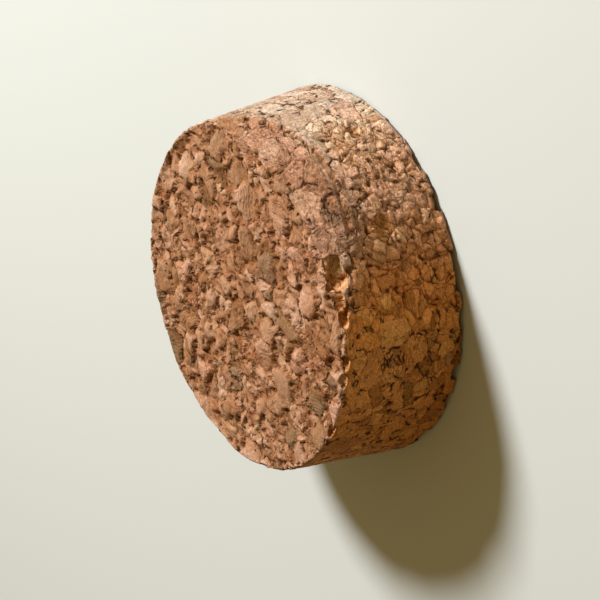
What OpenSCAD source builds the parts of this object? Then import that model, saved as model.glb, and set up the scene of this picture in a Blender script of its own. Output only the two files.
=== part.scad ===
// Cork stopper: a short, wide, tapered plug of bonded cork granules.
// It stands on its large end at z = 0 with the small end up, and its axis is Z.
// Directions round the axis are in degrees, anticlockwise from +X as seen from above.

/* [Body] */
// Diameter of the large end, where its side and its flat face would meet
large_d = 70; // [50:1:110]
// Diameter of the small end, where its side and its flat face would meet
small_d = 65; // [45:1:105]
// Height from the large end to the small end
height = 24; // [16:1:60]

/* [Rims] */
// Radius that rounds the rim of the large end
large_round = 0.5; // [0.3:0.1:2]
// Radius that rounds the rim of the small end
small_round = 0.5; // [0.3:0.1:2]

/* [Worn stretch of the small rim] */
// Direction of the middle of the worn stretch
wear_at = -56; // [-180:1:180]
// Angle round the axis that the worn stretch takes in
wear_spread = 80; // [50:1:120]
// How far the wear reaches in over the small end
wear_in = 4; // [1:0.5:6]
// How far the wear reaches down the side
wear_down = 7; // [3:0.5:10]

/* [Broken rims] */
// Depth into the small end's rim of its deepest break
small_break_in = 2.4; // [0.5:0.1:4]
// Depth down the side of the small end's deepest break
small_break_down = 3; // [1:0.1:5]
// Depth into the large end's rim of its deepest break
large_break_in = 1.2; // [0.3:0.1:3]
// Height up the side of the large end's deepest break
large_break_up = 1.8; // [0.5:0.1:4]
// Angle by which the floor and back of each break lean outwards
break_lean = 18; // [5:1:30]

/* [Pulled granules] */
// Width of the hollow that a pulled granule leaves in the side
granule_w = 4; // [2:0.5:6]
// Depth of that hollow
granule_deep = 0.9; // [0.3:0.1:1.5]

/* [Hidden] */

large_r = large_d / 2;
small_r = small_d / 2;
taper = atan((large_r - small_r) / height);

// Segments in each rounded rim's profile, and in circles
rim_steps = 8;
round_fn = 180;
// Length by which a cutting shape runs past the surface that it cuts
over = 2;

// Breaks in the small rim, where granules came away in blocks. Each is its direction,
// its length round the rim, its depth in and down as shares of the deepest, and its twist.
small_breaks = [
    [-84, 4.5, 0.7, 0.5, 14],
    [-90, 5.5, 1.0, 1.0, -8],
    [-97, 5.0, 0.9, 0.5, 6],
    [-104, 3.0, 0.4, 0.5, -12],
    [-119, 2.5, 0.3, 0.4, 10],
    [-125, 2.5, 0.5, 0.3, -15],
    [-147, 3.0, 0.3, 0.3, 12],
];

// Breaks in the large rim, given in the same way, with the depth up the side
large_breaks = [
    [-65, 4.0, 0.5, 0.6, 10],
    [-78, 3.0, 0.5, 0.8, -12],
    [-99, 7.0, 0.9, 0.7, 5],
    [-113, 3.0, 0.5, 0.6, -10],
    [-131, 3.0, 1.0, 1.0, 8],
    [-142, 3.5, 0.6, 0.5, -6],
    [-162, 5.0, 0.9, 0.8, 9],
];

// Hollows that pulled granules left in the side. Each is its direction, its height as a share
// of the whole height, its width and depth as shares of the sizes above, and its tilt.
side_hollows = [
    [-81, 0.50, 1.0, 0.8, 20],
    [-122, 0.57, 0.5, 1.0, -30],
    [-125, 0.10, 0.6, 1.0, 40],
    [-48, 0.30, 0.7, 0.9, -15],
    [-143, 0.38, 0.5, 0.8, 55],
];

// Radius of the tapered side at a height above the large end
function side_r(z) = large_r + (small_r - large_r) * z / height;

// Points of an arc round a centre, from one angle to another
function arc(centre, radius, from, to) = [
    for (step = [0 : rim_steps])
        let (angle = from + (to - from) * step / rim_steps)
            centre + radius * [cos(angle), sin(angle)]
];

// The plug with both rims rounded and nothing missing
module whole_plug() {
    large_centre = [large_r - large_round * (1 + sin(taper)) / cos(taper), large_round];
    small_centre = [small_r - small_round * (1 - sin(taper)) / cos(taper), height - small_round];
    rotate_extrude($fn = round_fn)
        polygon(concat(
            [[0, 0]],
            arc(large_centre, large_round, -90, taper),
            arc(small_centre, small_round, taper, 90),
            [[0, height]]
        ));
}

// The cone that the worn stretch leaves whole. Its axis lies off the plug's axis,
// so its surface comes inside the small rim along the worn stretch alone.
module wear_limit() {
    shift = wear_in / (1 - cos(wear_spread / 2));
    top_r = small_r - wear_in + shift;
    spread_down = side_r(height - wear_down) - (small_r - wear_in);
    slope = spread_down / wear_down;
    rotate([0, 0, wear_at])
        translate([-shift, 0, -over])
            cylinder(
                h = height + 2 * over,
                r1 = top_r + slope * (height + over),
                r2 = top_r - slope * over,
                $fn = round_fn
            );
}

// A block that broke out of a rim whose edge lies at the origin, with its outside on +X
// and the plug below it
module break_block(length, deep, down, twist) {
    translate([-deep, 0, -down])
        rotate([0, -break_lean, twist])
            translate([0, -length / 2, 0])
                cube([deep + over, length, down + over]);
}

module small_rim_breaks() {
    for (b = small_breaks)
        rotate([0, 0, b[0]])
            translate([small_r, 0, height])
                break_block(b[1], b[2] * small_break_in, b[3] * small_break_down, b[4]);
}

module large_rim_breaks() {
    for (b = large_breaks)
        rotate([0, 0, b[0]])
            translate([large_r, 0, 0])
                mirror([0, 0, 1])
                    break_block(b[1], b[2] * large_break_in, b[3] * large_break_up, b[4]);
}

module pulled_granules() {
    for (s = side_hollows)
        rotate([0, 0, s[0]])
            translate([side_r(s[1] * height) - s[3] * granule_deep, 0, s[1] * height])
                rotate([s[4], -break_lean, 0])
                    translate([0, -s[2] * granule_w / 2, -s[2] * granule_w / 3])
                        cube([granule_deep + over, s[2] * granule_w, s[2] * granule_w * 2 / 3]);
}

module stopper() {
    color("#b5855c")
        difference() {
            intersection() {
                whole_plug();
                wear_limit();
            }
            small_rim_breaks();
            large_rim_breaks();
            pulled_granules();
        }
}

stopper();
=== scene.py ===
"""The finish of the cork stopper: a block of bonded cork granules with a worn, chipped rim."""
import math
from types import SimpleNamespace

import bpy
import numpy as np
from mathutils import Matrix, Vector


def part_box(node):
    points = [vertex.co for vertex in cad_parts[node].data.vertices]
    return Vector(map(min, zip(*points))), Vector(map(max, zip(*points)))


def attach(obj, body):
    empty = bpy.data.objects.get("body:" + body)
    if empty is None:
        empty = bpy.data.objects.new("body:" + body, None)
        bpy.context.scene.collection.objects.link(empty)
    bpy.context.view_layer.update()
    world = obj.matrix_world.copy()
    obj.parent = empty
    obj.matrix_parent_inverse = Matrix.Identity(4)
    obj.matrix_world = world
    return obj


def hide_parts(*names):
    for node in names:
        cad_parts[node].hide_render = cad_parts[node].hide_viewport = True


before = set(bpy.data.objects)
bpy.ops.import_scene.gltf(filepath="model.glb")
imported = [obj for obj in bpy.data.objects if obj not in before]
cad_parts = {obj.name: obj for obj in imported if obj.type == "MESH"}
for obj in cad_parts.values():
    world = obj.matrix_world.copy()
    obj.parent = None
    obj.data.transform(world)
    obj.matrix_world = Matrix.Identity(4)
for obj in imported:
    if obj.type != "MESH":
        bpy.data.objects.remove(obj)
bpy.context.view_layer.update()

# ---------------------------------------------------------------------------------------
# The block. Lengths are in millimetres where the name ends in MM, and in metres elsewhere.
# Directions round the axis are in degrees from +X.
# ---------------------------------------------------------------------------------------
MM = 0.001
CAD_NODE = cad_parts["stopper"]
LOW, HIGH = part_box("stopper")
CENTRE = (LOW + HIGH) / 2
HEIGHT_MM = (HIGH.z - LOW.z) / MM
LARGE_R_MM = (HIGH.x - LOW.x) / 2 / MM

# Side of the little cubes that the block's mesh is rebuilt from
VOXEL_MM = 0.385

# The plain part of the side: its middle and half its height, as shares of the whole height
PLAIN_MIDDLE, PLAIN_HALF = 0.6, 0.38
# Cosine of the angle, from the direction opposite the wear, within which nothing is missing
WHOLE_COSINE = 0.7

# The worn stretch of the small rim: its middle, its angle, and its reach in and down
WEAR_AT = -56.0
WEAR_SPREAD = 80.0
WEAR_IN_MM = 4.0
WEAR_DOWN_MM = 7.0

# Stretches of the side: the direction of the middle, and the cosines of the angles from it
# at which the stretch begins and is complete
WORN_STRETCH = (WEAR_AT, 0.78, 0.90)
# Pale stretch: partly paler granules, partly painted light
PALE_LIT_STRETCH = (-25.0, 0.80, 1.0)
# Brown stretch: its saturated orange-brown is painted warm shade
BROWN_SHADED_STRETCH = (-135.0, 0.45, 0.95)
# A painted highlight: a pale line along the foot of the worn slope, in this stretch
RIDGE_HIGHLIGHT_STRETCH = (-50.0, 0.95, 0.99)
# Where grinding tore the side instead of smoothing it
TORN_STRETCH = (-75.0, 0.72, 0.92)

# Spots on the side: direction, height as a share of the whole, and reach in millimetres.
# One is full of open pits, one is cracked, and one keeps the amber back of a lost granule, whose
# colour is partly its own and partly painted light.
PITTED_SPOT = (-122.0, 0.57, 3.6)
CRACKED_SPOT = (-86.5, 0.44, 2.4)
AMBER_LIT_SPOT = (-81.0, 0.51, 2.6)
# A spot is complete up to this share of its reach, and lies outside this share of the radius
SPOT_CORE = 0.6
SPOT_INNER = 0.85

# Distances over which one zone of the surface gives way to the next
GROUND_FADE_MM = (-0.2, 0.8)
WORN_FOOT_FADE_MM = (-0.1, 0.5)
WORN_TOP_FADE_MM = (-0.8, 1.3)
BREAK_FADE_MM = (0.3, 0.8)
RIM_FADE_MM = (0.3, 2.2)
TORN_FADE_MM = (0.3, 2.0)
# The painted highlight along the worn slope's foot fades out this far below the small end
RIDGE_HIGHLIGHT_FADE_MM = (2.0, 4.0)
# Strength of the worn slope's fading, which is 1 half way, where that painted highlight
# begins and is complete
RIDGE_HIGHLIGHT_WIDTH = (0.45, 0.95)
# Waves in the top of the worn slope: height in millimetres, number in 2 pi, and phase
WORN_TOP_WAVES = ((0.35, 23, 0.0), (0.25, 41, 1.0))
# How much of its flatness the torn side loses, and how flat the rims are
TORN_LOSS = 0.42
RIM_FLATNESS = 0.7
# How many more of the granules are small on the side, where it is torn, and in pitted spots
FINER_ON_SIDE = 0.22
FINER_WHERE_TORN = 0.22
FINER_IN_SPOTS = 0.4

# ---------------------------------------------------------------------------------------
# The granules
# ---------------------------------------------------------------------------------------
# Spacing of the large granules, of the middling ones and of the small ones
COARSE_MM = 5.2
MIDDLE_MM = 3.9
FINE_MM = 2.3
# Shares of the block that the large and the small granules take up
LARGE_SHARE = 0.42
SMALL_SHARE = 0.22
# The granules were pressed flat along the axis by this factor
PRESSED = 1.25
# How far the granules' outlines wander, and how ragged they are, each with its spacing
WANDER_MM = 3.0
WANDER_SPACING_MM = 4.5
RAGGED_MM = 0.62
RAGGED_SPACING_MM = 1.0
# Noise that opens the joints: its spacing, its rise in pitted spots, and its values where
# a joint begins to open and is quite open
OPEN_SPACING_MM = 1.5
PITTED_RISE = 0.13
OPEN_NOISE = (0.46, 0.66)
# The same for the noise that makes the cork crumbly
CRUMBLY_SPACING_MM = 8.0
CRUMBLY_NOISE = (0.52, 0.66)

# Relief. A pair is a value on the rough ends, then on the ground side.
# Depth at which the lowest granule sits, and the shares of it that show
SINK_MM = 0.42
SINK_SHARE = (1.0, 0.18)
# Steepness with which the granules lean, and the most that it raises or lowers them
LEAN = (0.47, 0.10)
LEAN_LOW_MM = -0.42
LEAN_HIGH_MM = 0.4
# The facets that each granule broke along: their spacing, lean, and the shares that show
FACET_MM = 1.9
FACET_LEAN = 0.15
FACET_SHARE = (1.0, 0.45)
# Width of a granule's rounded shoulder, how far it falls, and how that goes with the joint
SHOULDER_MM = (0.88, 0.32)
FALL_MM = (0.44, 0.10)
FALL_SHUT, FALL_OPEN = 0.5, 1.5
# Roughness of whole cork and of broken cork, its spacing, and how much of it grinding took off
ROUGH_WHOLE_MM, ROUGH_BROKEN_MM = 0.15, 1.1
ROUGH_SPACING_MM = 1.1
ROUGH_LOSS = 0.6
# Depth below the plain surface of a granule that is level and not sunk, and of the deepest pit
TOP_BELOW_MM = (0.22, 0.06)
DEEPEST_MM = 0.95

# ---------------------------------------------------------------------------------------
# Colours and finish of the cork
# ---------------------------------------------------------------------------------------
# Tones of the granules, from the darkest to the palest
GRANULE_TONES = [
    (0.00, (0.252, 0.131, 0.059)),
    (0.10, (0.366, 0.200, 0.107)),
    (0.40, (0.428, 0.238, 0.139)),
    (0.72, (0.480, 0.271, 0.172)),
    (0.92, (0.508, 0.314, 0.204)),
    (1.00, (0.548, 0.358, 0.238)),
]
# Pale granules of the pale side: partly their own colour, partly painted light
PALE_LIT_CORK = (0.57, 0.42, 0.29)
# Broken cork: partly its own amber, partly painted light in the shaded breaks
BROKEN_LIT_CORK = (0.74, 0.39, 0.165)
# Amber spot: partly the cork's own colour, partly painted light
AMBER_LIT_CORK = (0.74, 0.37, 0.13)
# Painted highlight along the foot of the worn slope
RIDGE_HIGHLIGHT_CORK = (0.78, 0.56, 0.40)
# Pale flecks: partly grit, partly painted highlights
FLECK_HIGHLIGHT_CORK = (0.60, 0.38, 0.24)
CREVICE_CORK = (0.050, 0.015, 0.004)
# How strongly these colours cover the granules' own
BROKEN_COVER = 0.75
AMBER_LIT_COVER = 0.85
RIDGE_HIGHLIGHT_COVER = 0.6
FLECK_HIGHLIGHT_COVER = 0.6

# Tints that multiply a granule's own tone
# Painted warm shade on the brown side
BROWN_SHADE_TINT = (1.27, 0.875, 0.29)
WORN_TINT = (0.80, 0.68, 0.58)
TORN_TINT = (1.50, 1.45, 1.33)
OLIVE_TINT = (0.60, 0.66, 0.62)
CRUMBLY_TINT = (1.04, 0.92, 0.82)
# Painted shade near each granule's border
BORDER_SHADE_TINT = (0.74, 0.52, 0.32)
# Painted shade in the low places of the relief
LOW_SHADE_TINT = (0.83, 0.70, 0.53)
# Tints of a granule's darkest and lightest parts, and the brightness of those parts
DARK_TINT = (1.03, 0.93, 0.76)
LIGHT_TINT = (0.95, 1.08, 1.36)
TINT_SHADES = (0.55, 1.20)
# How strongly some of the tints show
WORN_STRENGTH = 0.8
OLIVE_STRENGTH = 0.8
CRUMBLY_STRENGTH = 0.75
# Luck from which a granule is paler on the pale side, which also carries painted light, luck at
# which it is palest, and how much of the paleness the others have
PALE_LUCK = (0.30, 0.75)
PALE_LEAST = 0.25
# How far granules differ in brightness on the painted-shade brown side and on the worn slope
BROWN_SPREAD = (0.88, 1.12)
WORN_SPREAD = (0.82, 1.28)
# A granule is olive, or striped, when its luck is above these
OLIVE_LUCK = 0.94
STRIPED_LUCK = 0.55

# Mottling: its size, the noise values of its darkest and lightest parts, its strength and
# the level it plays about, on the ends and the side
MOTTLE_MM = 0.70
MOTTLE_NOISE = (0.3, 0.72)
MOTTLE_STRENGTH = (0.14, 0.33)
MOTTLE_LEVEL = (0.88, 0.99)
# Slow changes of brightness over the block
DRIFT_MM = 14.0
DRIFT_NOISE = (0.3, 0.7)
DRIFT = (0.92, 1.07)
# Grit: its size, the noise values between which its dark specks end and its light specks
# and pale flecks begin, and the brightness of the specks
GRIT_MM = 0.34
DARK_GRIT = (0.30, 0.42)
LIGHT_GRIT = (0.60, 0.72)
# The pale flecks are partly grit and partly painted highlights
FLECK_HIGHLIGHT_GRIT = (0.58, 0.72)
DARK_SPECK = 0.64
LIGHT_SPECK = 1.20
# Fibres are this much finer along the axis
FIBRE_SQUEEZE = 2.0
# Striations: how closely they follow each other, how they waver, and how dark they are
STRIPE_PACE = 19.0
STRIPE_WAVER = 6.0
STRIPE_WAVER_MM = 1.2
STRIPE_DARK = 0.14

# Width of a shut joint and of an open one, the share of it that is quite dark, and their
# darkness
JOINT_MM = (0.08, 0.34)
JOINT_CORE = 0.1
JOINT_DARK = (0.08, 0.97)
TORN_JOINT_DARK = 0.55
# Joints round small granules are narrower by this share, and those in breaks fainter
SMALL_JOINT_LOSS = 0.4
BREAK_JOINT_LOSS = 0.6
# How much of the joints' darkness shows on the ends and on the side
JOINT_SHOWS = (0.70, 1.0)
# Width of the painted shade along the border inside each granule, and its strength on the ends
# and the side
BORDER_SHADE_MM = 0.6
BORDER_SHADE_STRENGTH = (0.42, 0.20)
# Relief that counts as low, in millimetres, and how much painted shade darkens it on the ends
# and the side
LOW_SHADE_MM = (-0.85, -0.15)
LOW_SHADE_STRENGTH = (0.75, 1.0)
# Fissures: their spacing, how thin they are, how open the joints near them are where they
# begin and where they are complete, and their darkness
FISSURE_MM = 1.6
FISSURE_THIN = 0.00045
FISSURE_OPEN = (0.3, 0.9)
FISSURE_DARK = 0.75
# Pits: their spacing, the shares of it between which a pit's wall rises, the luck above
# which a place has one, and their darkness
PIT_MM = 2.3
PIT_WALL = (0.05, 0.14)
PIT_LUCK = 0.72
PIT_DARK = 0.8

# The fine relief that the bump shows. A pair is for whole cork, then for crumbly cork.
# Crumbs: their spacing, how steeply they lean, and the shares of them that show
CRUMB_MM = 0.6
CRUMB_LEAN = 0.9
CRUMB_SHARE = (0.14, 1.15)
# Nap: its spacing and its height
NAP_SPACING_MM = 0.6
NAP_MM = (0.08, 0.42)
# Height of a striation, and depth of a joint and of a pit
STRIPE_MM = 0.05
GROOVE_MM = 0.25
PIT_DEPTH_MM = 0.3
# How crumbly the worn slope and the side count as, how much less of the crumbled colour
# ground cork has, and how much smoother the brown side of painted warm shade is
WORN_CRUMBS = 0.85
SIDE_CRUMBS = 0.6
CRUMBLY_LOSS = 0.7
BROWN_SMOOTHER = 0.25
# Shares of the granules' own relief that the bump shows once more, on the ends and the side
RELIEF_AGAIN = (0.6, 1.5)
ROUGHNESS = (0.88, 0.74)
SPECULAR = 0.06

# ---------------------------------------------------------------------------------------
# Floor, light and camera
# ---------------------------------------------------------------------------------------
FLOOR_HALF = 3.0
FLOOR_COLOUR = (0.500, 0.535, 0.530)
FLOOR_ROUGHNESS = 0.9
ROOM_COLOUR = (1.0, 0.70, 0.28)
ROOM_STRENGTH = 0.31
# The lamp stands at an azimuth and a rise in degrees, at a distance in metres
KEY_LAMP = {
    "azimuth": 95.0,
    "elevation": 37.0,
    "distance": 0.9,
    "size": 0.20,
    "watts": 16.5,
    "colour": (1.0, 0.985, 0.96),
}
LENS_MM = 126.7
# The camera's distance in metres, its rise and roll in degrees, and its aim off the axis
CAMERA_DISTANCE = 0.3882
CAMERA_ELEVATION = 31.01
CAMERA_ROLL = -105.46
AIM_ASIDE_MM = -3.27


# ---------------------------------------------------------------------------------------
# Node networks written as expressions
# ---------------------------------------------------------------------------------------
class Wire:
    """An output of a node. Arithmetic on wires and numbers adds Math or Vector Math nodes."""

    def __init__(self, net, socket):
        self.net = net
        self.socket = socket
        self.is_vector = socket.type in ("VECTOR", "RGBA")

    def maths(self, operation, *others):
        vectors = self.is_vector or any(getattr(o, "is_vector", False) for o in others)
        return self.net.maths(operation, self, *others, vectors=vectors)

    def __add__(self, other):
        return self.maths("ADD", other)

    def __radd__(self, other):
        return self.maths("ADD", other)

    def __sub__(self, other):
        return self.maths("SUBTRACT", other)

    def __rsub__(self, other):
        return self.net.maths("SUBTRACT", other, self, vectors=self.is_vector)

    def __mul__(self, other):
        if self.is_vector and not getattr(other, "is_vector", isinstance(other, tuple)):
            values = {0: self, "Scale": other}
            return self.net.add("ShaderNodeVectorMath", {"operation": "SCALE"}, values)
        return self.maths("MULTIPLY", other)

    def __rmul__(self, other):
        return self * other

    def __truediv__(self, other):
        return self.maths("DIVIDE", other)

    def above(self, limit):
        """1 where the wire is above the limit, and 0 elsewhere."""
        return self.maths("GREATER_THAN", limit)

    def least(self, other):
        return self.maths("MINIMUM", other)

    def most(self, other):
        return self.maths("MAXIMUM", other)

    def sine(self):
        return self.maths("SINE")

    def dot(self, other):
        values = {0: self, 1: other}
        return self.net.add("ShaderNodeVectorMath", {"operation": "DOT_PRODUCT"}, values, "Value")

    def ramp(self, low, high, start=0.0, end=1.0, smooth=True):
        """Goes from start at low to end at high, and stays level outside them."""
        kind = "SMOOTHSTEP" if smooth else "LINEAR"
        values = {0: self, 1: low, 2: high, 3: start, 4: end}
        return self.net.add("ShaderNodeMapRange", {"interpolation_type": kind}, values)

    def between(self, pair, smooth=True):
        """The first of the pair where the wire is 0, and the second where it is 1."""
        return self.ramp(0.0, 1.0, *pair, smooth=smooth)

    def parts(self):
        """The three parts of a vector, or of a colour, as wires."""
        node = self.net.add("ShaderNodeSeparateXYZ", {}, {0: self}, None)
        return [Wire(self.net, node.outputs[axis]) for axis in range(3)]


class Net:
    """Builds the nodes of one tree."""

    def __init__(self, tree):
        self.tree = tree

    def add(self, kind, settings, values, output=0):
        """Adds a node: its settings first, then the numbers or wires of its sockets."""
        node = self.tree.nodes.new(kind)
        for name, setting in settings.items():
            if name == "stops":
                self.set_stops(node.color_ramp, setting)
            else:
                setattr(node, name, setting)
        for key, value in values.items():
            socket = node.inputs[key]
            if isinstance(value, Wire):
                self.tree.links.new(value.socket, socket)
            elif isinstance(value, tuple) and len(value) == 3 and socket.type == "RGBA":
                socket.default_value = (*value, 1.0)
            else:
                socket.default_value = value
        return node if output is None else Wire(self, node.outputs[output])

    @staticmethod
    def set_stops(ramp, stops):
        while len(ramp.elements) < len(stops):
            ramp.elements.new(1.0)
        for element, (place, colour) in zip(ramp.elements, stops):
            element.position = place
            element.color = (*colour, 1.0)

    def maths(self, operation, *terms, vectors=False):
        kind = "ShaderNodeVectorMath" if vectors else "ShaderNodeMath"
        return self.add(kind, {"operation": operation}, dict(enumerate(terms)))

    def noise(self, place, size_mm, detail=2.0, roughness=0.5, output="Fac"):
        """Cloudy noise whose lumps are about size_mm across."""
        values = {"Vector": place, "Scale": 1.0 / size_mm, "Detail": detail, "Roughness": roughness}
        return self.add("ShaderNodeTexNoise", {}, values, output)

    def cells(self, place, size_mm, feature, output):
        """Cells size_mm apart. Distances come out as shares of that spacing."""
        values = {"Vector": place, "Scale": 1.0 / size_mm}
        return self.add("ShaderNodeTexVoronoi", {"feature": feature}, values, output)

    def chance(self, seed):
        """Three random numbers from 0 to 1 that depend on the seed vector alone. The same
        seed moved by any offset gives another three."""
        return self.add("ShaderNodeTexWhiteNoise", {}, {"Vector": seed}, "Color")

    def mix(self, factor, first, second):
        """A colour or vector between two."""
        values = {0: factor, 6: first, 7: second}
        return self.add("ShaderNodeMix", {"data_type": "RGBA"}, values, 2)

    def blend(self, factor, first, second):
        """A number between two."""
        values = {0: factor, 2: first, 3: second}
        return self.add("ShaderNodeMix", {"data_type": "FLOAT"}, values, 0)


# ---------------------------------------------------------------------------------------
# The granules. Relief and colour both read this one field, so cracks lie in the hollows.
# ---------------------------------------------------------------------------------------
class Granules:
    """The field of granules at a place given in millimetres."""

    def __init__(self, net, place, finer, pitted):
        self.net = net
        wander = net.noise(place, WANDER_SPACING_MM, 2.0, 0.5, "Color") - (0.5, 0.5, 0.5)
        ragged = net.noise(place, RAGGED_SPACING_MM, 3.0, 0.65, "Color") - (0.5, 0.5, 0.5)
        self.spot = place * (1.0, 1.0, PRESSED) + wander * WANDER_MM + ragged * RAGGED_MM
        # Large cells; some of them are broken into middling or small granules
        large_home, large_edge = self.cells(COARSE_MM)
        middle_home, middle_edge = self.cells(MIDDLE_MM)
        small_home, small_edge = self.cells(FINE_MM)
        luck = net.chance(large_home + (3.1, 0.0, 0.0)).parts()[0] + finer
        is_split = luck.above(LARGE_SHARE)
        self.is_small = luck.above(1.0 - SMALL_SHARE)
        inner_home = net.mix(self.is_small, middle_home, small_home)
        inner_edge = net.blend(self.is_small, middle_edge, small_edge)
        # Distance in millimetres from the granule's edge, and the way from its middle
        self.edge = net.blend(is_split, large_edge, large_edge.least(inner_edge))
        home = net.mix(is_split, large_home, inner_home)
        self.offset = self.spot - home
        # Random numbers that are the same all over a granule
        self.luck_a, self.luck_b, self.luck_c = net.chance(home).parts()
        self.luck_d, self.luck_e, self.luck_f = net.chance(home + (0.0, 0.0, 5.7)).parts()
        self.lean = net.chance(home + (0.0, 7.3, 0.0)) - (0.5, 0.5, 0.5)
        # How open the joints are, and where the cork has crumbled
        gaping = net.noise(place, OPEN_SPACING_MM, 2.0, 0.5) + pitted * PITTED_RISE
        self.open = gaping.ramp(*OPEN_NOISE)
        crumbling = net.noise(place + (40.0, 0.0, 0.0), CRUMBLY_SPACING_MM, 1.0, 0.5)
        self.crumbly = crumbling.ramp(*CRUMBLY_NOISE)

    def cells(self, size_mm):
        """The middle of the cell that the place is in, and its distance from the cell's edge."""
        home = self.net.cells(self.spot, size_mm, "F1", "Position")
        edge = self.net.cells(self.spot, size_mm, "DISTANCE_TO_EDGE", "Distance") * size_mm
        return home, edge

    def facets(self, size_mm, steep):
        """Height in millimetres of small flat facets that lean at random."""
        home = self.net.cells(self.spot, size_mm, "F1", "Position")
        lean = self.net.chance(home) - (0.5, 0.5, 0.5)
        return (self.spot - home).dot(lean) * steep


def relief(net, grain, flat, broken):
    """Height of the surface in millimetres, from 0 down. The granules lie at their own depths,
    lean at random, and fall off at rounded shoulders to the joints."""
    sunk = grain.luck_a.between((-SINK_MM, 0.0), smooth=False) * flat.between(SINK_SHARE)
    slope = grain.offset.dot(grain.lean) * flat.between(LEAN)
    slope = slope.most(LEAN_LOW_MM).least(LEAN_HIGH_MM)
    facet = grain.facets(FACET_MM, FACET_LEAN) * flat.between(FACET_SHARE)
    dome = (grain.edge / flat.between(SHOULDER_MM)).ramp(0.0, 1.0)
    fall = flat.between(FALL_MM) * grain.open.between((FALL_SHUT, FALL_OPEN), smooth=False)
    rough = net.noise(grain.spot, ROUGH_SPACING_MM, 2.0, 0.6) - 0.5
    rough = rough * broken.between((ROUGH_WHOLE_MM, ROUGH_BROKEN_MM))
    height = sunk + slope + facet + (dome - 1.0) * fall + rough * (1.0 - flat * ROUGH_LOSS)
    # Nothing stands proud of the plain surface, and no pit goes deeper than the deepest
    return (height - flat.between(TOP_BELOW_MM)).least(0.0).most(-DEEPEST_MM)


# ---------------------------------------------------------------------------------------
# The zones of the block's surface
# ---------------------------------------------------------------------------------------
def plain_radii_mm():
    """Radii at which the side would meet the large end and the small end, from a straight
    line through the side where it is plain and whole."""
    points = np.array([v.co[:] for v in CAD_NODE.data.vertices]) / MM
    from_middle = np.abs(points[:, 2] - HEIGHT_MM * PLAIN_MIDDLE)
    band = points[from_middle < HEIGHT_MM * PLAIN_HALF]
    reach = np.hypot(band[:, 0], band[:, 1])
    away = math.radians(WEAR_AT + 180)
    whole = band[:, 0] * math.cos(away) + band[:, 1] * math.sin(away) > WHOLE_COSINE * reach
    slope, base = np.polyfit(band[whole, 2], reach[whole], 1)
    return base, base + slope * HEIGHT_MM


def smooth_step(values, low, high):
    t = np.clip((values - low) / (high - low), 0.0, 1.0)
    return t * t * (3 - 2 * t)


def towards(points, direction, low, high):
    """From 0 to 1 as the cosine of a point's angle from the direction goes from low to high."""
    turn = math.radians(direction)
    reach = np.maximum(np.hypot(points[:, 0], points[:, 1]), 1.0)
    cosine = (points[:, 0] * math.cos(turn) + points[:, 1] * math.sin(turn)) / reach
    return smooth_step(cosine, low, high)


def near_spot(points, direction, height_share, reach_mm):
    """From 0 to 1 as a point nears a spot on the side."""
    turn = math.radians(direction)
    radius = np.hypot(points[:, 0], points[:, 1])
    across = points[:, 0] - radius * math.cos(turn)
    along = points[:, 1] - radius * math.sin(turn)
    up = points[:, 2] - height_share * HEIGHT_MM
    gap = np.sqrt(across ** 2 + along ** 2 + up ** 2)
    near = 1 - smooth_step(gap, SPOT_CORE * reach_mm, reach_mm)
    return near * (radius > SPOT_INNER * LARGE_R_MM)


def below_worn_slope(points, large_r, small_r):
    """How far each point lies below the cone that the wear left, in millimetres."""
    x, y, z = points.T
    turn = math.radians(WEAR_AT)
    shift = WEAR_IN_MM / (1 - math.cos(math.radians(WEAR_SPREAD / 2)))
    foot_r = large_r + (small_r - large_r) * (HEIGHT_MM - WEAR_DOWN_MM) / HEIGHT_MM
    slope = (foot_r - (small_r - WEAR_IN_MM)) / WEAR_DOWN_MM
    cone_r = small_r - WEAR_IN_MM + shift + slope * (HEIGHT_MM - z)
    reach = np.hypot(x + shift * math.cos(turn), y + shift * math.sin(turn))
    return (cone_r - reach) / math.hypot(1.0, slope)


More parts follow.
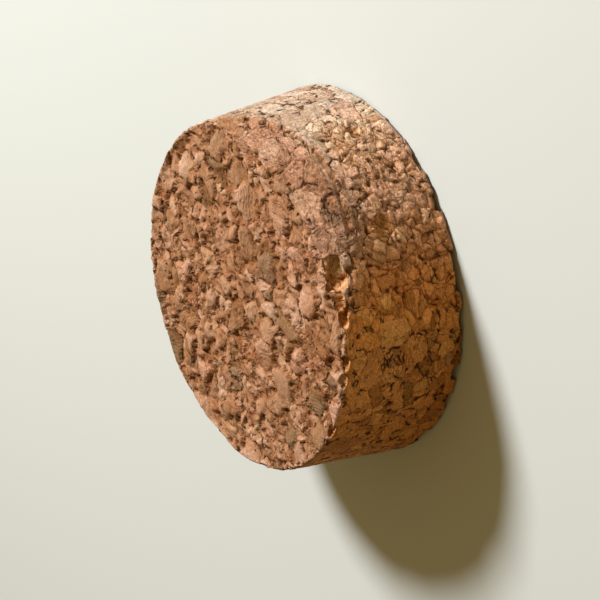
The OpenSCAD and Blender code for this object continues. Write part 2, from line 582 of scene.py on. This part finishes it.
def zone_masks(points):
    """Masks from 0 to 1 at each point, by name. The points are in millimetres."""
    large_r, small_r = plain_radii_mm()
    x, y, z = points.T
    to_side = large_r + (small_r - large_r) * z / HEIGHT_MM - np.hypot(x, y)
    to_wear = below_worn_slope(points, large_r, small_r)
    to_end = np.minimum(z, HEIGHT_MM - z)
    # The nearest of the three plain surfaces names the zone; a point deep below them is broken
    ground = smooth_step(np.minimum(to_end, to_wear) - to_side, *GROUND_FADE_MM)
    broken = smooth_step(np.minimum(np.minimum(to_side, to_end), to_wear), *BREAK_FADE_MM)
    # The worn slope ends sharply at its foot, and fades unevenly into the small end
    turn = np.arctan2(y, x)
    uneven = sum(high * np.sin(turn * waves + phase) for high, waves, phase in WORN_TOP_WAVES)
    foot = smooth_step(to_side - to_wear, *WORN_FOOT_FADE_MM)
    top = smooth_step(to_end - to_wear + uneven, *WORN_TOP_FADE_MM)
    worn = foot * top * towards(points, *WORN_STRETCH)
    ground = ground * (1 - worn)
    rim = (1 - smooth_step(np.hypot(to_side, to_end), *RIM_FADE_MM)) * (1 - broken)
    # The torn stretch keeps clear of the rims
    clear = smooth_step(np.minimum(to_end, to_wear), *TORN_FADE_MM)
    torn = ground * clear * towards(points, *TORN_STRETCH)
    pitted = np.maximum(near_spot(points, *PITTED_SPOT), near_spot(points, *CRACKED_SPOT))
    # The painted highlight line runs where the worn slope's mask is half way
    edge = smooth_step(4 * worn * (1 - worn), *RIDGE_HIGHLIGHT_WIDTH)
    edge = edge * smooth_step(HEIGHT_MM - z, *RIDGE_HIGHLIGHT_FADE_MM)
    side_flatness = ground * (1 - TORN_LOSS * torn)
    return {
        "flat": np.maximum(np.maximum(side_flatness, worn), rim * RIM_FLATNESS),
        "finer": ground * FINER_ON_SIDE + torn * FINER_WHERE_TORN + pitted * FINER_IN_SPOTS,
        "pitted": pitted,
        # Amber spot: partly the cork's own colour, partly painted light
        "amber": near_spot(points, *AMBER_LIT_SPOT),
        "worn": worn,
        "broken": broken,
        "torn": torn,
        # Painted highlight line at the foot of the worn slope
        "ridge": edge * towards(points, *RIDGE_HIGHLIGHT_STRETCH),
        # Pale side: partly paler granules, partly painted light
        "pale": ground * towards(points, *PALE_LIT_STRETCH),
        # Brown side: painted warm shade
        "brown": ground * towards(points, *BROWN_SHADED_STRETCH),
    }


# ---------------------------------------------------------------------------------------
# The block's mesh
# ---------------------------------------------------------------------------------------
def store(mesh, name, values):
    """Keeps a number or a vector at every vertex, under a name that the nodes read."""
    kind, key = ("FLOAT_VECTOR", "vector") if values.ndim == 2 else ("FLOAT", "value")
    layer = mesh.attributes.new(name, kind, "POINT")
    layer.data.foreach_set(key, values.astype(np.float32).ravel())


def applied(piece):
    """Swaps the piece's mesh for the one that its modifiers make."""
    graph = bpy.context.evaluated_depsgraph_get()
    shape = piece.evaluated_get(graph)
    made = bpy.data.meshes.new_from_object(shape, preserve_all_data_layers=True, depsgraph=graph)
    piece.modifiers.clear()
    piece.data = made
    made.name = piece.name
    return made


def mesh_points(mesh):
    row = np.empty(len(mesh.vertices) * 3, np.float32)
    mesh.vertices.foreach_get("co", row)
    return row.reshape(-1, 3).astype(float)


def push_in(piece):
    """Sinks the mesh by the granules' relief, with a node group that is then applied."""
    tree = bpy.data.node_groups.new("granule_relief", "GeometryNodeTree")
    tree.interface.new_socket("Mesh", in_out="INPUT", socket_type="NodeSocketGeometry")
    tree.interface.new_socket("Mesh", in_out="OUTPUT", socket_type="NodeSocketGeometry")
    net = Net(tree)
    entry = net.add("NodeGroupInput", {}, {})

    def read(name, kind="FLOAT"):
        settings = {"data_type": kind}
        return net.add("GeometryNodeInputNamedAttribute", settings, {"Name": name}, "Attribute")

    grain = Granules(net, read("place", "FLOAT_VECTOR"), read("finer"), read("pitted"))
    height = relief(net, grain, read("flat"), read("broken"))
    outward = net.add("GeometryNodeInputNormal", {}, {})
    values = {"Geometry": entry, "Offset": outward * (height * MM)}
    moved = net.add("GeometryNodeSetPosition", {}, values)
    net.add("NodeGroupOutput", {}, {0: moved}, None)
    piece.modifiers.new("relief", "NODES").node_group = tree
    return applied(piece)


def make_block():
    """The whole stopper: the CAD solid remeshed finely, with every granule in relief."""
    block = bpy.data.objects.new("granule_block", CAD_NODE.data.copy())
    bpy.context.scene.collection.objects.link(block)
    remesh = block.modifiers.new("remesh", "REMESH")
    remesh.mode = "VOXEL"
    remesh.voxel_size = VOXEL_MM * MM
    mesh = applied(block)
    points = mesh_points(mesh) / MM
    store(mesh, "place", points)
    for name, values in zone_masks(points).items():
        store(mesh, name, values)
    mesh = push_in(block)
    mesh.shade_smooth()
    return block


# ---------------------------------------------------------------------------------------
# Cork
# ---------------------------------------------------------------------------------------
def read_zones(net):
    """The places and masks that the mesh carries, as wires by name."""
    names = ("flat", "finer", "pitted", "amber", "worn", "broken", "torn", "ridge", "pale", "brown")
    zone = SimpleNamespace(
        place=net.add("ShaderNodeAttribute", {"attribute_name": "place"}, {}, "Vector")
    )
    for name in names:
        wire = net.add("ShaderNodeAttribute", {"attribute_name": name}, {}, "Fac")
        setattr(zone, name, wire)
    return zone


def granule_tone(net, grain, zone):
    """The tone of each whole granule, changed by the zone that it lies in. The pale side, the breaks
    and the amber spot carry painted light, and the brown side carries painted warm shade.
    """
    tone = net.add("ShaderNodeValToRGB", {"stops": GRANULE_TONES}, {0: grain.luck_b})
    # Pale side: paler granules, partly their own colour and partly painted light
    tone = net.mix(zone.pale * grain.luck_c.ramp(*PALE_LUCK, PALE_LEAST, 1.0), tone, PALE_LIT_CORK)
    # Brown side: the saturated orange is painted warm shade; the spread between granules is their
    # own
    brown = tone * BROWN_SHADE_TINT * grain.luck_e.between(BROWN_SPREAD, smooth=False)
    tone = net.mix(zone.brown, tone, brown)
    worn = tone * WORN_TINT * grain.luck_e.between(WORN_SPREAD, smooth=False)
    tone = net.mix(zone.worn * WORN_STRENGTH, tone, worn)
    tone = net.mix(zone.torn, tone, tone * TORN_TINT)
    # Breaks: amber, partly the cork's own colour and partly painted light in the shaded hollows
    tone = net.mix(zone.broken * BROKEN_COVER, tone, BROKEN_LIT_CORK)
    olive = grain.luck_f.above(OLIVE_LUCK) * OLIVE_STRENGTH
    tone = net.mix(olive, tone, tone * OLIVE_TINT)
    # Amber spot: partly the cork's own colour, partly painted light
    return net.mix(zone.amber * AMBER_LIT_COVER, tone, AMBER_LIT_CORK)


def fine_grain(net, grain, zone):
    """What shows inside the granules: fibres, striations, grit and crumbling."""
    fibre = grain.spot * (1.0, 1.0, FIBRE_SQUEEZE)
    waver = net.noise(grain.spot, STRIPE_WAVER_MM, 2.0, 0.6) * STRIPE_WAVER
    along = grain.spot.dot(grain.lean) * STRIPE_PACE + waver
    striped = grain.luck_d.above(STRIPED_LUCK)
    return SimpleNamespace(
        fibre=fibre,
        striped=striped,
        stripe=along.sine() * striped * 0.5 + 0.5,
        grit=net.noise(fibre + (0.0, 60.0, 0.0), GRIT_MM, 1.0, 0.5),
        crumbly=grain.crumbly * (1.0 - zone.flat * CRUMBLY_LOSS),
    )


def granule_shade(net, fine, zone):
    """Brightness inside the granules, and its slow changes over the block."""
    mottle = net.noise(fine.fibre, MOTTLE_MM, 3.0, 0.75).ramp(*MOTTLE_NOISE, -1.0, 1.0, smooth=False)
    mottle = mottle * zone.flat.between(MOTTLE_STRENGTH, smooth=False)
    mottle = mottle + zone.flat.between(MOTTLE_LEVEL)
    drift = net.noise(zone.place, DRIFT_MM, 2.0, 0.5).ramp(*DRIFT_NOISE, *DRIFT, smooth=False)
    speck = fine.grit.ramp(*DARK_GRIT, DARK_SPECK, 1.0)
    speck = speck * fine.grit.ramp(*LIGHT_GRIT, 1.0, LIGHT_SPECK)
    return mottle * drift * speck * (1.0 - fine.striped * (1.0 - fine.stripe) * STRIPE_DARK)


def granule_colour(net, grain, fine, zone, relief_mm):
    """The colour of the cork without its dark joints and pits. It holds painted shade at the
    granules' borders and in the low places, and painted highlights in flecks and along the worn
    slope's foot.
    """
    shade = granule_shade(net, fine, zone)
    # The darker parts are the redder ones
    redness = net.mix(shade.ramp(*TINT_SHADES, smooth=False), DARK_TINT, LIGHT_TINT)
    body = granule_tone(net, grain, zone) * shade * redness
    # Pale flecks on the brown side: partly grit, partly painted highlights
    fleck_highlights = fine.grit.ramp(*FLECK_HIGHLIGHT_GRIT) * zone.brown
    body = net.mix(fleck_highlights * FLECK_HIGHLIGHT_COVER, body, FLECK_HIGHLIGHT_CORK)
    body = net.mix(fine.crumbly * CRUMBLY_STRENGTH, body, body * CRUMBLY_TINT)
    # Painted highlight along the foot of the worn slope
    body = net.mix(zone.ridge * RIDGE_HIGHLIGHT_COVER, body, RIDGE_HIGHLIGHT_CORK)
    # Painted shade near each granule's border
    border_shade = 1.0 - (grain.edge / BORDER_SHADE_MM).ramp(0.0, 1.0)
    body = net.mix(border_shade * zone.flat.between(BORDER_SHADE_STRENGTH), body, body * BORDER_SHADE_TINT)
    # Painted shade in the low places of the relief
    low = relief_mm.ramp(*LOW_SHADE_MM, 1.0, 0.0) * zone.flat.between(LOW_SHADE_STRENGTH)
    return net.mix(low, body, body * LOW_SHADE_TINT)


def dark_gaps(net, grain, fine, zone):
    """The joints between the granules, the fissures that run on into them, and the pits."""
    # Joints are wide and black where open, hair-thin and faint where shut
    width_mm = grain.open.between(JOINT_MM, smooth=False) * (1.0 - grain.is_small * SMALL_JOINT_LOSS)
    joint = 1.0 - (grain.edge / width_mm).ramp(JOINT_CORE, 1.0)
    joint = joint * grain.open.between(JOINT_DARK, smooth=False).most(zone.torn * TORN_JOINT_DARK)
    fissure = net.noise(fine.fibre + (20.0, 0.0, 0.0), FISSURE_MM, 3.0, 0.62) - 0.5
    fissure = 1.0 - (fissure * fissure).ramp(0.0, FISSURE_THIN)
    fissure = fissure * grain.open.ramp(*FISSURE_OPEN) * zone.flat
    pit = net.cells(zone.place, PIT_MM, "F1", "Distance").ramp(*PIT_WALL, 1.0, 0.0)
    pit = pit * net.cells(zone.place, PIT_MM, "F1", "Color").parts()[0].above(PIT_LUCK)
    shown = joint * zone.flat.between(JOINT_SHOWS) * (1.0 - zone.broken * BREAK_JOINT_LOSS)
    dark = shown.most(pit * PIT_DARK).most(fissure * FISSURE_DARK)
    return SimpleNamespace(joint=joint, fissure=fissure, pit=pit, dark=dark)


def fine_relief(net, grain, fine, gaps, zone, relief_mm):
    """Height of what is finer than the mesh, in millimetres. The granules' own relief comes in
    once more, to sharpen it."""
    crumbs = fine.crumbly.most(zone.torn).most(zone.worn * WORN_CRUMBS)
    crumbs = crumbs.most(zone.flat * SIDE_CRUMBS).most(zone.broken)
    crumb = grain.facets(CRUMB_MM, CRUMB_LEAN) * crumbs.between(CRUMB_SHARE)
    nap = net.noise(fine.fibre, NAP_SPACING_MM, 3.0, 0.7) * crumbs.between(NAP_MM)
    stripes = fine.stripe * fine.striped * STRIPE_MM
    groove = (0.0 - gaps.joint.most(gaps.fissure)) * GROOVE_MM
    hole = (0.0 - gaps.pit) * PIT_DEPTH_MM
    whole = relief_mm * zone.flat.between(RELIEF_AGAIN)
    return (nap + stripes + crumb) * (1.0 - zone.brown * BROWN_SMOOTHER) + whole + groove + hole


def cork_material():
    """Bonded cork: every granule has a tone of its own, with dark joints, pits and fine grain."""
    material = bpy.data.materials.new("cork")
    material.use_nodes = True
    tree = material.node_tree
    tree.nodes.clear()
    net = Net(tree)
    zone = read_zones(net)
    grain = Granules(net, zone.place, zone.finer, zone.pitted)
    fine = fine_grain(net, grain, zone)
    gaps = dark_gaps(net, grain, fine, zone)
    relief_mm = relief(net, grain, zone.flat, zone.broken)
    body = granule_colour(net, grain, fine, zone, relief_mm)
    height = fine_relief(net, grain, fine, gaps, zone, relief_mm)
    values = {
        "Base Color": net.mix(gaps.dark, body, CREVICE_CORK),
        "Roughness": zone.flat.between(ROUGHNESS),
        "Specular IOR Level": SPECULAR,
        "Normal": net.add("ShaderNodeBump", {}, {"Strength": 1.0, "Distance": MM, "Height": height}),
    }
    surface = net.add("ShaderNodeBsdfPrincipled", {}, values)
    net.add("ShaderNodeOutputMaterial", {}, {"Surface": surface}, None)
    return material


# ---------------------------------------------------------------------------------------
# Floor, light and camera
# ---------------------------------------------------------------------------------------
def plain_material(name, colour, roughness):
    material = bpy.data.materials.new(name)
    material.use_nodes = True
    shader = material.node_tree.nodes["Principled BSDF"]
    shader.inputs["Base Color"].default_value = (*colour, 1.0)
    shader.inputs["Roughness"].default_value = roughness
    return material


def make_floor():
    half = FLOOR_HALF
    mesh = bpy.data.meshes.new("floor")
    corners = [(-half, -half, 0), (half, -half, 0), (half, half, 0), (-half, half, 0)]
    mesh.from_pydata(corners, [], [(0, 1, 2, 3)])
    floor = bpy.data.objects.new("floor", mesh)
    bpy.context.scene.collection.objects.link(floor)
    floor.location.z = LOW.z
    mesh.materials.append(plain_material("pale_floor", FLOOR_COLOUR, FLOOR_ROUGHNESS))


def aimed(location, target, roll=0.0):
    """A rotation that looks from a place to a target, turned about the line of sight."""
    sight = (Vector(target) - Vector(location)).normalized()
    return sight.to_track_quat("-Z", "Y").to_matrix().to_4x4() @ Matrix.Rotation(roll, 4, "Z")


def from_centre(distance, azimuth, elevation):
    """A place at a distance from the stopper's centre. Azimuth 0 is on the -Y side."""
    turn, rise = math.radians(azimuth), math.radians(elevation)
    level = math.cos(rise)
    way = Vector((math.sin(turn) * level, -math.cos(turn) * level, math.sin(rise)))
    return CENTRE + way * distance


def make_lamp(name, azimuth, elevation, distance, size, watts, colour):
    lamp = bpy.data.lights.new(name, "AREA")
    lamp.shape = "DISK"
    lamp.size = size
    lamp.energy = watts
    lamp.color = colour
    holder = bpy.data.objects.new(name, lamp)
    place = from_centre(distance, azimuth, elevation)
    holder.matrix_world = Matrix.Translation(place) @ aimed(place, CENTRE)
    bpy.context.scene.collection.objects.link(holder)


def make_room_light(colour, strength):
    world = bpy.data.worlds.new("studio")
    world.use_nodes = True
    sky = world.node_tree.nodes["Background"]
    sky.inputs["Color"].default_value = (*colour, 1.0)
    sky.inputs["Strength"].default_value = strength
    bpy.context.scene.world = world


def make_camera():
    """Looks down at the small end from the -Y side, rolled as if the stopper stood on edge."""
    lens = bpy.data.cameras.new("camera")
    lens.lens = LENS_MM
    camera = bpy.data.objects.new("camera", lens)
    place = from_centre(CAMERA_DISTANCE, 0.0, CAMERA_ELEVATION)
    target = CENTRE + Vector((AIM_ASIDE_MM * MM, 0.0, 0.0))
    turned = aimed(place, target, math.radians(CAMERA_ROLL))
    camera.matrix_world = Matrix.Translation(place) @ turned
    bpy.context.scene.collection.objects.link(camera)
    bpy.context.scene.camera = camera


# ---------------------------------------------------------------------------------------
# Making
# ---------------------------------------------------------------------------------------
make_camera()
make_floor()
make_room_light(ROOM_COLOUR, ROOM_STRENGTH)
make_lamp("key", **KEY_LAMP)

block = make_block()
block.data.materials.clear()
block.data.materials.append(cork_material())
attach(block, "root")
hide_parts("stopper")

bpy.context.scene.view_settings.view_transform = "Standard"
